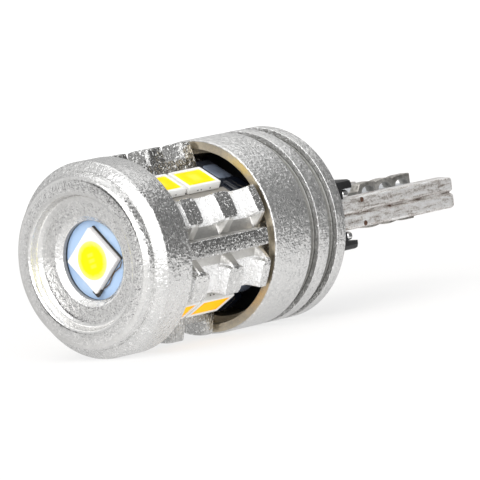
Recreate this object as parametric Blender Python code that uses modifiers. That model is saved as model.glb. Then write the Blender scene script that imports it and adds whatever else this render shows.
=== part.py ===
# Wedge base led bulb: a finned die-cast head on a grooved collar, seven chip leds,
# and a flat wedge base held in a black plastic block. Metres, +Z up.
# The bulb lies on its side: its axis runs along +X, from the head to the wedge.
# The local frame of every piece has Z along the bulb's axis, from the head's front face,
# X towards the finned post and wedge edge that face -Y, and Y pointing down.
import bmesh
import bpy
from math import atan2, cos, hypot, pi, radians, sin, sqrt
from mathutils import Matrix

MM = 0.001

# Fits between pieces, and how far a cutter runs past what it cuts
FIT = 0.05 * MM
SEAM = 0.35 * MM
CUT_MARGIN = 0.20 * MM
MERGE = 0.0000005

# How finely round shapes are divided
ROUND_STEPS = 60
SMALL_ROUND_STEPS = 24
BEAD_STEPS = 5
LOBE_STEPS = 7
ARCH_STEPS = 8
ROUND_ANGLE = radians(35)

# Head cap: its rings are set in from the body's outside, its stations run from the front face
BODY_RADIUS = 6.25 * MM
LAND_INSET = 1.33 * MM
STEP_INSET = 1.96 * MM
STEP_DRAFT = 0.14 * MM
STEP_DEPTH = 0.88 * MM
HOLE_RADIUS = 2.52 * MM
SINK_WIDTH = 0.38 * MM
SINK_DEPTH = 0.35 * MM
HOLE_LENGTH = 0.39 * MM
BEAD_INSET = 0.65 * MM
BEAD_SETBACK = 0.72 * MM
CREASE = 0.06 * MM
CORNER_SETBACK = 1.26 * MM
CAP_LENGTH = 3.53 * MM
POCKET_WALL = 2.05 * MM

# Finned posts
POST_COUNT = 3
POST_DROP = 0.07 * MM
POST_HALF_ANGLE = radians(32)
POST_LENGTH = 7.62 * MM
FIN_HEIGHT = 0.93 * MM
FIN_INNER_ANGLE = radians(14.5)
BAR_HALF_WIDTH = 0.55 * MM
BAR_SHORTFALL = 0.30 * MM
UNDERCUT = 0.42 * MM
FIN_WIDTH = 1.35 * MM
SLOT_WIDTH = 1.90 * MM
SLOT_COUNT = 2
TROUGH_HALF_WIDTH = 1.72 * MM
TONGUE_HALF_WIDTH = 1.65 * MM
TONGUE_LENGTH = 1.75 * MM

# Side boards on the core, one behind each trough between the posts
BOARD_DROP = 2.05 * MM
BOARD_THICKNESS = 0.80 * MM
BOARD_HALF_WIDTH = 2.30 * MM
BOARD_LENGTH = 9.30 * MM
CORE_OVERHANG = 0.24 * MM

# Leds
LED_HEIGHT = 0.52 * MM
FRONT_LED_SIDE = 3.00 * MM
FRONT_LED_TURN = radians(45)
FRONT_PHOSPHOR_RADIUS = 1.24 * MM
SIDE_LED_LENGTH = 3.00 * MM
SIDE_LED_WIDTH = 2.00 * MM
SIDE_LED_RIM = 0.24 * MM
SIDE_LED_COUNT = 2
SIDE_LED_GAP = 0.25 * MM
SIDE_LED_INSET = 0.60 * MM
PHOSPHOR_DEPTH = 0.16 * MM
LED_CORNER = 0.08 * MM

# Front board
FRONT_BOARD_THICKNESS = 0.80 * MM

# Rear collar
COLLAR_LENGTH = 6.87 * MM
COLLAR_LIP = 0.65 * MM
COLLAR_LIP_LENGTH = 1.10 * MM
COLLAR_WALL = 1.00 * MM
COLLAR_BACK_WALL = 2.10 * MM
COLLAR_EDGE = 0.12 * MM
GROOVE_COUNT = 2
GROOVE_WIDTH = 0.78 * MM
GROOVE_LAND = 1.02 * MM
REAR_LAND = 0.89 * MM
GROOVE_DEPTH = 0.45 * MM

# Holder block of the wedge: the collar's rim is left outside its corners
HOLDER_RIM = 0.95 * MM
HOLDER_HEIGHT = 4.50 * MM
HOLDER_REACH = 2.60 * MM
HOLDER_CORNER = 0.30 * MM
FLANGE_THICKNESS = 1.15 * MM
NOTCH_LENGTH = 0.95 * MM
NOTCH_HEIGHT = 0.62 * MM
LEAD_LENGTH = 0.75 * MM
LEAD_WIDTH = 1.20 * MM

# Wedge
WEDGE_WIDTH = 9.50 * MM
WEDGE_THICKNESS = 2.05 * MM
WEDGE_REACH = 12.73 * MM
WEDGE_GAP = 0.10 * MM
PLATE_THICKNESS = 1.50 * MM
RAIL_WIDTH = 1.25 * MM
RAIL_WEB = 0.22 * MM
RAIL_GROOVE = 0.26 * MM
LOBE_DEPTH = 0.30 * MM
LOBE_END_ANGLE = radians(-55)
TAIL_INSET = 1.00 * MM
TAIL_THICKNESS = 1.00 * MM
TAIL_LENGTH = 5.00 * MM

# Arched contact strips on the wedge faces
STRIP_WIDTH = 0.70 * MM
STRIP_THICKNESS = 0.20 * MM
STRIP_OFFSET = 1.50 * MM
ARCH_COUNT = 3
ARCH_PITCH = 1.72 * MM
ARCH_HEIGHT = 0.50 * MM
ARCH_FULLNESS = 0.35
STRIP_START_GAP = 0.57 * MM
STRIP_TIP_INSET = 0.80 * MM

# Driver parts on the tail of the wedge board
CHIP_LENGTH = 1.40 * MM
CHIP_WIDTH = 2.60 * MM
CHIP_HEIGHT = 0.90 * MM
RECTIFIER_WIDTH = 1.70 * MM
RECTIFIER_HEIGHT = 0.75 * MM
RESISTOR_WIDTH = 0.80 * MM
RESISTOR_HEIGHT = 0.45 * MM
RESISTOR_COUNT = 3
SOLDERED_CORNER = 0.10 * MM

# Radii that follow the body's outside
land_radius = BODY_RADIUS - LAND_INSET
step_top_radius = BODY_RADIUS - STEP_INSET
step_foot_radius = step_top_radius - STEP_DRAFT
bead_radius = BODY_RADIUS - BEAD_INSET
pocket_radius = BODY_RADIUS - POCKET_WALL
post_radius = BODY_RADIUS - POST_DROP
fin_foot_radius = post_radius - FIN_HEIGHT
board_face = BODY_RADIUS - BOARD_DROP
core_face = board_face - BOARD_THICKNESS - FIT
bore_radius = BODY_RADIUS - COLLAR_WALL
holder_half_width = sqrt((BODY_RADIUS - HOLDER_RIM) ** 2 - (HOLDER_HEIGHT / 2) ** 2)
tail_half_width = holder_half_width - TAIL_INSET

# Stations along the axis that several pieces share
hole_start = STEP_DEPTH + SINK_DEPTH
front_wall = hole_start + HOLE_LENGTH
seat_station = front_wall + FIT
core_start = seat_station + FRONT_BOARD_THICKNESS + FIT
post_end = CAP_LENGTH + POST_LENGTH
collar_start = post_end + SEAM
collar_end = collar_start + COLLAR_LENGTH
back_wall_start = collar_end - COLLAR_BACK_WALL
holder_end = collar_end + HOLDER_REACH
wedge_start = collar_end + WEDGE_GAP
wedge_end = collar_end + WEDGE_REACH
side_board_start = CAP_LENGTH + FIT
side_board_end = side_board_start + BOARD_LENGTH
core_end = side_board_end + CORE_OVERHANG
axis_height = BODY_RADIUS * cos(pi / ROUND_STEPS)
window_step = 2 * pi / POST_COUNT


def clear_scene():
    for thing in list(bpy.data.objects):
        bpy.data.objects.remove(thing, do_unlink=True)
    for group in list(bpy.data.collections):
        bpy.data.collections.remove(group)


def make_collection(name):
    group = bpy.data.collections.new(name)
    bpy.context.scene.collection.children.link(group)
    return group


def make_material(name, colour, roughness, metallic=0.0):
    material = bpy.data.materials.new(name)
    material.use_nodes = True
    shader = material.node_tree.nodes["Principled BSDF"]
    shader.inputs["Base Color"].default_value = (*colour, 1.0)
    shader.inputs["Roughness"].default_value = roughness
    shader.inputs["Metallic"].default_value = metallic
    return material


def add_object(name, mesh, material=None, turn=0.0):
    # A part joins the bulb's collection; without a material it is a cutter.
    piece = bpy.data.objects.new(name, mesh)
    piece.parent = bulb_frame
    piece.rotation_euler.z = turn
    if material is None:
        cutters.objects.link(piece)
        piece.hide_render = True
        piece.display_type = "WIRE"
    else:
        bulb.objects.link(piece)
        mesh.materials.clear()
        mesh.materials.append(material)
    return piece


def shade_round(piece):
    # The finished mesh takes the place of its modifiers, so that its own edges can be marked sharp.
    bpy.context.view_layer.update()
    finished = piece.evaluated_get(bpy.context.evaluated_depsgraph_get())
    mesh = bpy.data.meshes.new_from_object(finished)
    piece.modifiers.clear()
    piece.data = mesh
    mesh.shade_smooth()
    mesh.set_sharp_from_angle(angle=ROUND_ANGLE)


def turned(name, profile, material=None, turn=0.0):
    # The profile holds (radius, station) pairs and runs down the outer side.
    mesh = bpy.data.meshes.new(name)
    points = [(radius, 0.0, station) for radius, station in profile]
    edges = [(i, (i + 1) % len(points)) for i in range(len(points))]
    mesh.from_pydata(points, edges, [])
    piece = add_object(name, mesh, material, turn + pi / ROUND_STEPS)
    screw = piece.modifiers.new("Turn", "SCREW")
    screw.steps = ROUND_STEPS
    screw.render_steps = ROUND_STEPS
    screw.use_merge_vertices = True
    screw.merge_threshold = MERGE
    screw.use_smooth_shade = False
    return piece


def outlined(name, points, start, end, material=None, turn=0.0, axis="Z"):
    # A flat outline, extruded along the bulb's axis or across it.
    curve = bpy.data.curves.new(name, "CURVE")
    curve.dimensions = "2D"
    curve.fill_mode = "BOTH"
    curve.extrude = (end - start) / 2
    spline = curve.splines.new("POLY")
    spline.points.add(len(points) - 1)
    for point, (x, y) in zip(spline.points, points):
        point.co = (x, y, 0.0, 1.0)
    spline.use_cyclic_u = True
    drawn = bpy.data.objects.new(name, curve)
    cutters.objects.link(drawn)
    bpy.context.view_layer.update()
    filled = drawn.evaluated_get(bpy.context.evaluated_depsgraph_get())
    mesh = bpy.data.meshes.new_from_object(filled)
    bpy.data.objects.remove(drawn)
    shape = bmesh.new()
    shape.from_mesh(mesh)
    bmesh.ops.translate(shape, vec=(0, 0, (start + end) / 2), verts=shape.verts)
    if axis == "X":
        # The outline's x becomes the station and its y stays across the wedge's face.
        swap = Matrix(((0, 0, 1), (0, -1, 0), (1, 0, 0))).to_4x4()
        bmesh.ops.transform(shape, matrix=swap, verts=shape.verts)
    bmesh.ops.remove_doubles(shape, verts=shape.verts, dist=MERGE)
    bmesh.ops.recalc_face_normals(shape, faces=shape.faces)
    shape.to_mesh(mesh)
    shape.free()
    return add_object(name, mesh, material, turn)


def box(name, x_range, y_range, z_range, material=None, turn=0.0, corner=0.0, corner_axis=2):
    mesh = bpy.data.meshes.new(name)
    shape = bmesh.new()
    bmesh.ops.create_cube(shape, size=1.0)
    spans = [high - low for low, high in (x_range, y_range, z_range)]
    middles = [(high + low) / 2 for low, high in (x_range, y_range, z_range)]
    bmesh.ops.scale(shape, vec=spans, verts=shape.verts)
    bmesh.ops.translate(shape, vec=middles, verts=shape.verts)
    if corner:
        along = [edge for edge in shape.edges
                 if abs((edge.verts[0].co - edge.verts[1].co)[corner_axis]) > spans[corner_axis] / 2]
        bmesh.ops.bevel(shape, geom=along, offset=corner, segments=2, profile=0.5, affect="EDGES")
    shape.to_mesh(mesh)
    shape.free()
    return add_object(name, mesh, material, turn)


def boolean(piece, tool, operation="DIFFERENCE"):
    modifier = piece.modifiers.new(tool.name, "BOOLEAN")
    modifier.operation = operation
    modifier.solver = "EXACT"
    modifier.object = tool
    return modifier


def arc(radius, start, end, steps=None):
    if steps is None:
        steps = max(2, round(abs(end - start) / (2 * pi) * ROUND_STEPS))
    angles = [start + (end - start) * i / steps for i in range(steps + 1)]
    return [(radius * cos(angle), radius * sin(angle)) for angle in angles]


def circle(radius, steps=ROUND_STEPS):
    return arc(radius, 0.0, 2 * pi, steps)[:-1]


def from_trough(height, side):
    # A trough's own frame, seen from the next post: height out from the axis, side towards the post.
    half = window_step / 2
    return (height * cos(half) + side * sin(half), height * sin(half) - side * cos(half))


def mirrored(points):
    return points + [(x, -y) for x, y in reversed(points) if y != 0.0]


def post_foot():
    return from_trough(core_face, BOARD_HALF_WIDTH + FIT)[0]


def post_outline():
    # Two fin rows with a channel between them; the bar is added in the channel.
    half = [(sqrt(fin_foot_radius ** 2 - BAR_HALF_WIDTH ** 2), BAR_HALF_WIDTH)]
    half += arc(post_radius, FIN_INNER_ANGLE, POST_HALF_ANGLE)
    half.append(from_trough(board_face + FIT, TROUGH_HALF_WIDTH))
    half.append(from_trough(board_face + FIT, BOARD_HALF_WIDTH + FIT))
    half.append(from_trough(core_face, BOARD_HALF_WIDTH + FIT))
    return mirrored(half)


def slot_outline():
    # A ring sector from the fins' feet to past their tips.
    reach = window_step / 2
    return arc(fin_foot_radius, -reach, reach) + arc(post_radius + CUT_MARGIN, reach, -reach)


def slot_stations():
    # The undercut behind the cap comes first, then the slots between the fins.
    places = [(CAP_LENGTH, CAP_LENGTH + UNDERCUT)]
    start = CAP_LENGTH + UNDERCUT + FIN_WIDTH
    for _ in range(SLOT_COUNT):
        places.append((start, start + SLOT_WIDTH))
        start += SLOT_WIDTH + FIN_WIDTH
    return places


def make_post(number):
    turn = number * window_step
    name = f"post_{number + 1}"
    post = outlined(name, post_outline(), CAP_LENGTH - UNDERCUT, post_end, turn=turn)
    for place, (start, end) in enumerate(slot_stations()):
        boolean(post, outlined(f"{name}_slot_{place + 1}", slot_outline(), start, end, turn=turn))
    bar_heights = (fin_foot_radius - BAR_HALF_WIDTH, post_radius)
    bar_stations = (CAP_LENGTH - UNDERCUT / 2, post_end - BAR_SHORTFALL)
    bar = box(f"{name}_bar", bar_heights, (-BAR_HALF_WIDTH, BAR_HALF_WIDTH), bar_stations, turn=turn)
    boolean(post, bar, "UNION")
    return post


def make_tongue(number):
    # The tongue carries the head: it reaches into the collar's bore.
    radius = bore_radius - FIT
    reach = atan2(TONGUE_HALF_WIDTH, sqrt(radius ** 2 - TONGUE_HALF_WIDTH ** 2))
    foot = post_foot() + FIT
    points = [(foot, -TONGUE_HALF_WIDTH)] + arc(radius, -reach, reach) + [(foot, TONGUE_HALF_WIDTH)]
    turn = number * window_step
    return outlined(f"tongue_{number + 1}", points, post_end - SEAM, collar_start + TONGUE_LENGTH, turn=turn)


def make_head_casting(material):
    bead = arc(1.0, 0.0, pi / 2, BEAD_STEPS)
    bead_width = bead_radius - land_radius
    profile = [(BODY_RADIUS, CAP_LENGTH), (BODY_RADIUS, CORNER_SETBACK),
               (bead_radius + CREASE, BEAD_SETBACK + CREASE)]
    profile += [(land_radius + bead_width * x, BEAD_SETBACK * (1 - y)) for x, y in bead]
    profile += [(step_top_radius, 0.0), (step_foot_radius, STEP_DEPTH),
                (HOLE_RADIUS + SINK_WIDTH, STEP_DEPTH), (HOLE_RADIUS, hole_start), (HOLE_RADIUS, front_wall),
                (pocket_radius, front_wall), (pocket_radius, CAP_LENGTH)]
    head = turned("head_casting", profile, material)
    for number in range(POST_COUNT):
        boolean(head, make_post(number), "UNION")
        boolean(head, make_tongue(number), "UNION")
    shade_round(head)


def make_front_board(material):
    end = seat_station + FRONT_BOARD_THICKNESS
    disc = circle(pocket_radius - FIT)
    board = outlined("front_board", disc, seat_station, end, material, pi / ROUND_STEPS)
    shade_round(board)


def make_front_led(package_material, phosphor_material):
    half = FRONT_LED_SIDE / 2
    base = seat_station - FIT
    top = base - LED_HEIGHT
    package = box("front_led_package", (-half, half), (-half, half), (top, base), package_material,
                  FRONT_LED_TURN, LED_CORNER)
    well = circle(FRONT_PHOSPHOR_RADIUS + FIT / 2, SMALL_ROUND_STEPS)
    boolean(package, outlined("front_led_well", well, top - LED_HEIGHT, top + PHOSPHOR_DEPTH + FIT / 2))
    shade_round(package)
    disc = circle(FRONT_PHOSPHOR_RADIUS, SMALL_ROUND_STEPS)
    fill = outlined("front_led_phosphor", disc, top, top + PHOSPHOR_DEPTH, phosphor_material)
    shade_round(fill)


def make_side_led(window, place, package_material, phosphor_material):
    turn = (window + 0.5) * window_step
    start = CAP_LENGTH + SIDE_LED_INSET + place * (SIDE_LED_LENGTH + SIDE_LED_GAP)
    base = board_face + FIT
    top = base + LED_HEIGHT
    half = SIDE_LED_WIDTH / 2
    stations = (start, start + SIDE_LED_LENGTH)
    label = f"side_led_{window + 1}_{place + 1}"
    rim = SIDE_LED_RIM
    well = box(f"{label}_well", (top - PHOSPHOR_DEPTH - FIT / 2, top + LED_HEIGHT), (rim - half, half - rim),
               (stations[0] + rim, stations[1] - rim), turn=turn)
    package = box(f"{label}_package", (base, top), (-half, half), stations, package_material, turn,
                  LED_CORNER, corner_axis=0)
    boolean(package, well)
    inner = rim + FIT / 2
    box(f"{label}_phosphor", (top - PHOSPHOR_DEPTH, top), (inner - half, half - inner),
        (stations[0] + inner, stations[1] - inner), phosphor_material, turn)


def make_side_board(window, material):
    box(f"side_board_{window + 1}", (board_face - BOARD_THICKNESS, board_face),
        (-BOARD_HALF_WIDTH, BOARD_HALF_WIDTH), (side_board_start, side_board_end), material,
        (window + 0.5) * window_step)


def make_core(material):
    # A triangular bar whose three corners stop short of the posts.
    corner_stop = post_foot() - FIT
    half = window_step / 2
    reach = (corner_stop - core_face * cos(half)) / sin(half)
    points = []
    for window in range(POST_COUNT):
        angle = (window + 0.5) * window_step
        for side in (-reach, reach):
            points.append((core_face * cos(angle) - side * sin(angle),
                           core_face * sin(angle) + side * cos(angle)))
    outlined("core_bar", points, core_start, core_end, material)


def make_collar(material):
    # The grooves are placed from the back land, and the profile runs from the back to the front.
    profile = [(BODY_RADIUS - COLLAR_EDGE, collar_end), (BODY_RADIUS, collar_end - COLLAR_EDGE)]
    groove_foot = BODY_RADIUS - GROOVE_DEPTH
    for number in range(GROOVE_COUNT):
        end = collar_end - REAR_LAND - number * (GROOVE_WIDTH + GROOVE_LAND)
        start = end - GROOVE_WIDTH
        profile += [(BODY_RADIUS, end), (groove_foot, end), (groove_foot, start), (BODY_RADIUS, start)]
    lip_radius = BODY_RADIUS - COLLAR_LIP
    profile += [(BODY_RADIUS, collar_start + COLLAR_EDGE), (BODY_RADIUS - COLLAR_EDGE, collar_start),
                (lip_radius, collar_start), (lip_radius, collar_start + COLLAR_LIP_LENGTH),
                (bore_radius, collar_start + COLLAR_LIP_LENGTH), (bore_radius, back_wall_start),
                (HOLDER_HEIGHT / 2, back_wall_start), (HOLDER_HEIGHT / 2, collar_end)]
    collar = turned("rear_collar", profile, material)
    opening = box("collar_opening", (-holder_half_width - FIT, holder_half_width + FIT),
                  (-HOLDER_HEIGHT / 2 - FIT, HOLDER_HEIGHT / 2 + FIT),
                  (back_wall_start - FIT, collar_end + FIT))
    boolean(collar, opening)
    shade_round(collar)


def make_holder(material):
    flange_end = back_wall_start - FIT
    flange = outlined("holder_block", circle(bore_radius - FIT), flange_end - FLANGE_THICKNESS,
                      flange_end, material, pi / ROUND_STEPS)
    half_width = holder_half_width
    half_height = HOLDER_HEIGHT / 2
    body = box("holder_body", (-half_width, half_width), (-half_height, half_height),
               (flange_end - FLANGE_THICKNESS / 2, holder_end), corner=HOLDER_CORNER, corner_axis=2)
    boolean(flange, body, "UNION")
    slot = WEDGE_THICKNESS / 2 + FIT
    mouth = box("holder_mouth", (-half_width - FIT, half_width + FIT), (-slot, slot),
                (collar_end, holder_end + FIT))
    boolean(flange, mouth)
    tail = box("holder_tail_slot", (-tail_half_width - FIT, tail_half_width + FIT),
               (-TAIL_THICKNESS / 2 - FIT, TAIL_THICKNESS / 2 + FIT),
               (flange_end - FLANGE_THICKNESS - FIT, collar_end + FIT))
    boolean(flange, tail)
    for side, label in ((-1, "upper"), (1, "lower")):
        low, high = sorted((side * (slot - FIT), side * (slot + NOTCH_HEIGHT)))
        notch = box(f"holder_notch_{label}", (half_width - LEAD_WIDTH - FIT, half_width + FIT), (low, high),
                    (holder_end - NOTCH_LENGTH, holder_end + FIT))
        boolean(flange, notch)
    shade_round(flange)


def make_leads(material):
    # A soldered lead end sits in each notch of the holder, on the wedge's edge.
    slot = WEDGE_THICKNESS / 2 + FIT
    start = holder_end - NOTCH_LENGTH + FIT
    sides = (holder_half_width - LEAD_WIDTH + FIT, holder_half_width - FIT)
    for side, label in ((-1, "upper"), (1, "lower")):
        heights = sorted((side * slot, side * (slot + NOTCH_HEIGHT - FIT)))
        box(f"lead_end_{label}", sides, heights, (start, start + LEAD_LENGTH), material,
            corner=SOLDERED_CORNER, corner_axis=0)


def make_wedge_board(material):
    # One board: the wide plate outside the collar and a thin tail with the driver inside it.
    half_plate = WEDGE_WIDTH / 2 - RAIL_WEB - LOBE_DEPTH - FIT
    plate = box("wedge_board", (-half_plate, half_plate), (-PLATE_THICKNESS / 2, PLATE_THICKNESS / 2),
                (wedge_start, wedge_end), material)
    tail = box("wedge_tail", (-tail_half_width, tail_half_width), (-TAIL_THICKNESS / 2, TAIL_THICKNESS / 2),
               (wedge_start - TAIL_LENGTH, wedge_start + FIT / 2))
    boolean(plate, tail, "UNION")


def rail_outline(side):
    # A channel over the board's edge, whose outer side is two round lobes with a groove between.
    radius = (WEDGE_THICKNESS - RAIL_GROOVE) / 4
    outer = WEDGE_WIDTH / 2
    inner = outer - RAIL_WIDTH
    seat = PLATE_THICKNESS / 2 + FIT
    web = outer - LOBE_DEPTH - RAIL_WEB
    top = WEDGE_THICKNESS / 2
    round_side = arc(radius, pi / 2, LOBE_END_ANGLE, LOBE_STEPS)
    lobe = [(outer - radius + x, top - radius + y) for x, y in round_side]
    groove = (outer - LOBE_DEPTH, RAIL_GROOVE / 2)
    half = [(web, seat), (inner, seat), (inner, top)] + lobe + [groove]
    points = half + [(x, -y) for x, y in reversed(half)]
    return [(side * x, y) for x, y in points]


def make_rails(material):
    for side, label in ((1, "near"), (-1, "far")):
        rail = outlined(f"edge_rail_{label}", rail_outline(side), wedge_start + FIT, wedge_end, material)
        shade_round(rail)


def strip_outline():
    # The strip's middle line: a flat tail, then equal arches, as a band of even thickness.
    face = PLATE_THICKNESS / 2 + FIT
    end = wedge_end - STRIP_TIP_INSET
    start = end - ARCH_COUNT * ARCH_PITCH
    line = [(holder_end + STRIP_START_GAP, 0.0), (start, 0.0)]
    for arch_number in range(ARCH_COUNT):
        for i in range(1, ARCH_STEPS + 1):
            height = ARCH_HEIGHT * abs(sin(pi * i / ARCH_STEPS)) ** ARCH_FULLNESS
            line.append((start + ARCH_PITCH * (arch_number + i / ARCH_STEPS), height))
    half = STRIP_THICKNESS / 2
    upper = []
    lower = []
    for i, (x, y) in enumerate(line):
        before = line[max(i - 1, 0)]
        after = line[min(i + 1, len(line) - 1)]
        length = hypot(after[0] - before[0], after[1] - before[1])
        nx = -(after[1] - before[1]) / length
        ny = (after[0] - before[0]) / length
        upper.append((x + nx * half, face + half + y + ny * half))
        lower.append((x - nx * half, max(face + half + y - ny * half, face)))
    return lower + list(reversed(upper))


def make_strips(material):
    for side, label in ((1, "upper"), (-1, "lower")):
        outline = [(x, side * y) for x, y in strip_outline()]
        strip = outlined(f"contact_strip_{label}", outline, STRIP_OFFSET - STRIP_WIDTH / 2,
                         STRIP_OFFSET + STRIP_WIDTH / 2, material, axis="X")
        shade_round(strip)


def make_driver(chip_material, resistor_material):
    # Parts on the tail, between the core and the holder's flange.
    face = TAIL_THICKNESS / 2 + FIT
    start = wedge_start - TAIL_LENGTH + SOLDERED_CORNER
    stations = (start, start + CHIP_LENGTH)
    box("driver_chip", (-CHIP_WIDTH / 2, CHIP_WIDTH / 2), (-face - CHIP_HEIGHT, -face), stations,
        chip_material, corner=SOLDERED_CORNER)
    box("rectifier", (-RECTIFIER_WIDTH / 2, RECTIFIER_WIDTH / 2), (face, face + RECTIFIER_HEIGHT), stations,
        chip_material, corner=SOLDERED_CORNER)
    edge = tail_half_width - RESISTOR_WIDTH
    for number in range(RESISTOR_COUNT):
        place = -edge if number == 0 else edge
        side = 1 if number == 2 else -1
        heights = sorted((side * face, side * (face + RESISTOR_HEIGHT)))
        box(f"resistor_{number + 1}", (place - RESISTOR_WIDTH / 2, place + RESISTOR_WIDTH / 2), heights,
            stations, resistor_material)


clear_scene()
bulb = make_collection("wedge_base_led_bulb")
cutters = make_collection("cutters")
bulb_frame = bpy.data.objects.new("bulb_frame", None)
bulb.objects.link(bulb_frame)
bulb_frame.matrix_world = Matrix(((0, 0, 1, -wedge_end / 2), (-1, 0, 0, 0), (0, -1, 0, axis_height),
                                  (0, 0, 0, 1)))

cast_metal = make_material("cast_aluminium", (0.62, 0.62, 0.61), 0.34, 1.0)
phosphor = make_material("phosphor", (1.0, 0.86, 0.03), 0.45)
led_white = make_material("led_white", (0.92, 0.92, 0.90), 0.4)
board_blue = make_material("board_blue", (0.32, 0.52, 0.85), 0.4)
board_dark = make_material("board_dark", (0.02, 0.03, 0.06), 0.35)
core_metal = make_material("core_aluminium", (0.55, 0.55, 0.56), 0.45, 1.0)
black_plastic = make_material("black_plastic", (0.02, 0.02, 0.02), 0.5)
wedge_grey = make_material("wedge_board_grey", (0.45, 0.47, 0.50), 0.35)
tinned = make_material("tinned_metal", (0.60, 0.57, 0.54), 0.42, 1.0)
spring_metal = make_material("strip_metal", (0.42, 0.41, 0.39), 0.35, 1.0)
chip_black = make_material("chip_black", (0.03, 0.03, 0.03), 0.5)
resistor_body = make_material("resistor_body", (0.10, 0.10, 0.11), 0.5)

make_head_casting(cast_metal)
make_collar(cast_metal)
make_front_board(board_blue)
make_front_led(led_white, phosphor)
make_core(core_metal)
for window_number in range(POST_COUNT):
    make_side_board(window_number, board_dark)
    for led_place in range(SIDE_LED_COUNT):
        make_side_led(window_number, led_place, led_white, phosphor)
make_holder(black_plastic)
make_leads(tinned)
make_wedge_board(wedge_grey)
make_rails(tinned)
make_strips(spring_metal)
make_driver(chip_black, resistor_body)
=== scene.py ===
import bmesh
import bpy
import numpy as np
from mathutils import Matrix, Vector


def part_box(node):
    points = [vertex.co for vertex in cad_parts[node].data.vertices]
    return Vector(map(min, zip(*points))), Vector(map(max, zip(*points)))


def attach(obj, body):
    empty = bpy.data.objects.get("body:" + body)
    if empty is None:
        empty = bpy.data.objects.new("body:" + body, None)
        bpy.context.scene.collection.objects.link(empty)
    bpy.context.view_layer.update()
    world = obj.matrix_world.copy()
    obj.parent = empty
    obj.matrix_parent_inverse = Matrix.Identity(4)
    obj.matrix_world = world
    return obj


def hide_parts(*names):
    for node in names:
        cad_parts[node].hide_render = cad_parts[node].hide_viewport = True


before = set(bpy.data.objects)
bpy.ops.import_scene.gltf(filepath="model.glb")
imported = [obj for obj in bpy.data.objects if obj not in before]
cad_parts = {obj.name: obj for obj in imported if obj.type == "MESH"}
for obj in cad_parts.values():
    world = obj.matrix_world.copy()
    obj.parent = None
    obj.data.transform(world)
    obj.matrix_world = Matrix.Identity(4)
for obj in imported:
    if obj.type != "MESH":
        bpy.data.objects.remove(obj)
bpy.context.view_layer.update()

mm = 0.001
pi = np.pi

# Sizes here are in millimetres. A station runs along the bulb's axis from the head's front face,
# and an angle runs round the axis, from the side that faces -Y up to +Z.
collarLow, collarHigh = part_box("rear_collar")
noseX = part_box("head_casting")[0].x / mm
axisHeight = (collarLow.z + collarHigh.z) / 2 / mm
bodyRadius = (collarHigh.y - collarLow.y) / 2 / mm
postAngles = {"post1": 0.0, "post2": -2 * pi / 3, "post3": 2 * pi / 3}
windowAngles = {1: -pi / 3, 2: pi, 3: pi / 3}


def stationOf(label, end=0):
    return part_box(label)[end].x / mm - noseX


# Shapes.

def inWorld(station, across, up):
    # Station, sideways and upward distances from the axis, stacked into world points in metres.
    parts = np.broadcast_arrays(station + noseX, across, up + axisHeight)
    return np.stack(parts, -1) * mm


def aroundAxis(outward, sideways, station, angle):
    # Outward from the axis along an angle, and sideways towards larger angles:
    # across = sideways sin(angle) - outward cos(angle), up = outward sin(angle) + sideways cos(angle).
    across = sideways * np.sin(angle) - outward * np.cos(angle)
    up = outward * np.sin(angle) + sideways * np.cos(angle)
    return inWorld(station, across, up)


def roundedPath(corners, radii, steps=4, closed=True):
    # Each corner becomes a quadratic curve between two points its radius before and after it,
    # B(t) = (1-t)^2 before + 2t(1-t) corner + t^2 after.
    p = np.asarray(corners, float)
    r = np.broadcast_to(np.asarray(radii, float), len(p))
    ends = []
    for step in (1, -1):
        away = np.roll(p, step, 0) - p
        length = np.linalg.norm(away, axis=1)
        ends.append(p + away * (np.minimum(r, 0.45 * length) / length)[:, None])
    before, after = ends
    if not closed:
        before[[0, -1]] = after[[0, -1]] = p[[0, -1]]
    t = np.linspace(0, 1, steps + 1)[None, :, None]
    curve = (1 - t) ** 2 * before[:, None] + 2 * t * (1 - t) * p[:, None] + t ** 2 * after[:, None]
    return curve.reshape(-1, 2)


def smoothRamp(x, start, end):
    # 0 before start, 1 after end, and 3t^2 - 2t^3 between them.
    t = np.clip((x - start) / (end - start), 0, 1)
    return t * t * (3 - 2 * t)


def ripple(angle, seed, low, high, count):
    # A sum of sines whose size falls with the square root of their frequency; even on a circle.
    rng = np.random.default_rng(seed)
    freq = rng.integers(low, high, count)
    phase = rng.uniform(0, 2 * pi, count)
    waves = np.sin(np.multiply.outer(angle, freq) + phase) / np.sqrt(freq)
    return waves.sum(-1) / np.sqrt(count)


def addPiece(name, mesh, materials, nodes=(), sharp=34):
    # Soft edges are shaded smooth, and the piece rides on the only body.
    mesh.shade_smooth()
    mesh.set_sharp_from_angle(angle=np.radians(sharp))
    for material in materials:
        mesh.materials.append(material)
    piece = bpy.data.objects.new(name, mesh)
    bpy.context.scene.collection.objects.link(piece)
    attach(piece, "root")
    if nodes:
        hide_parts(*nodes)
    return piece


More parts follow.
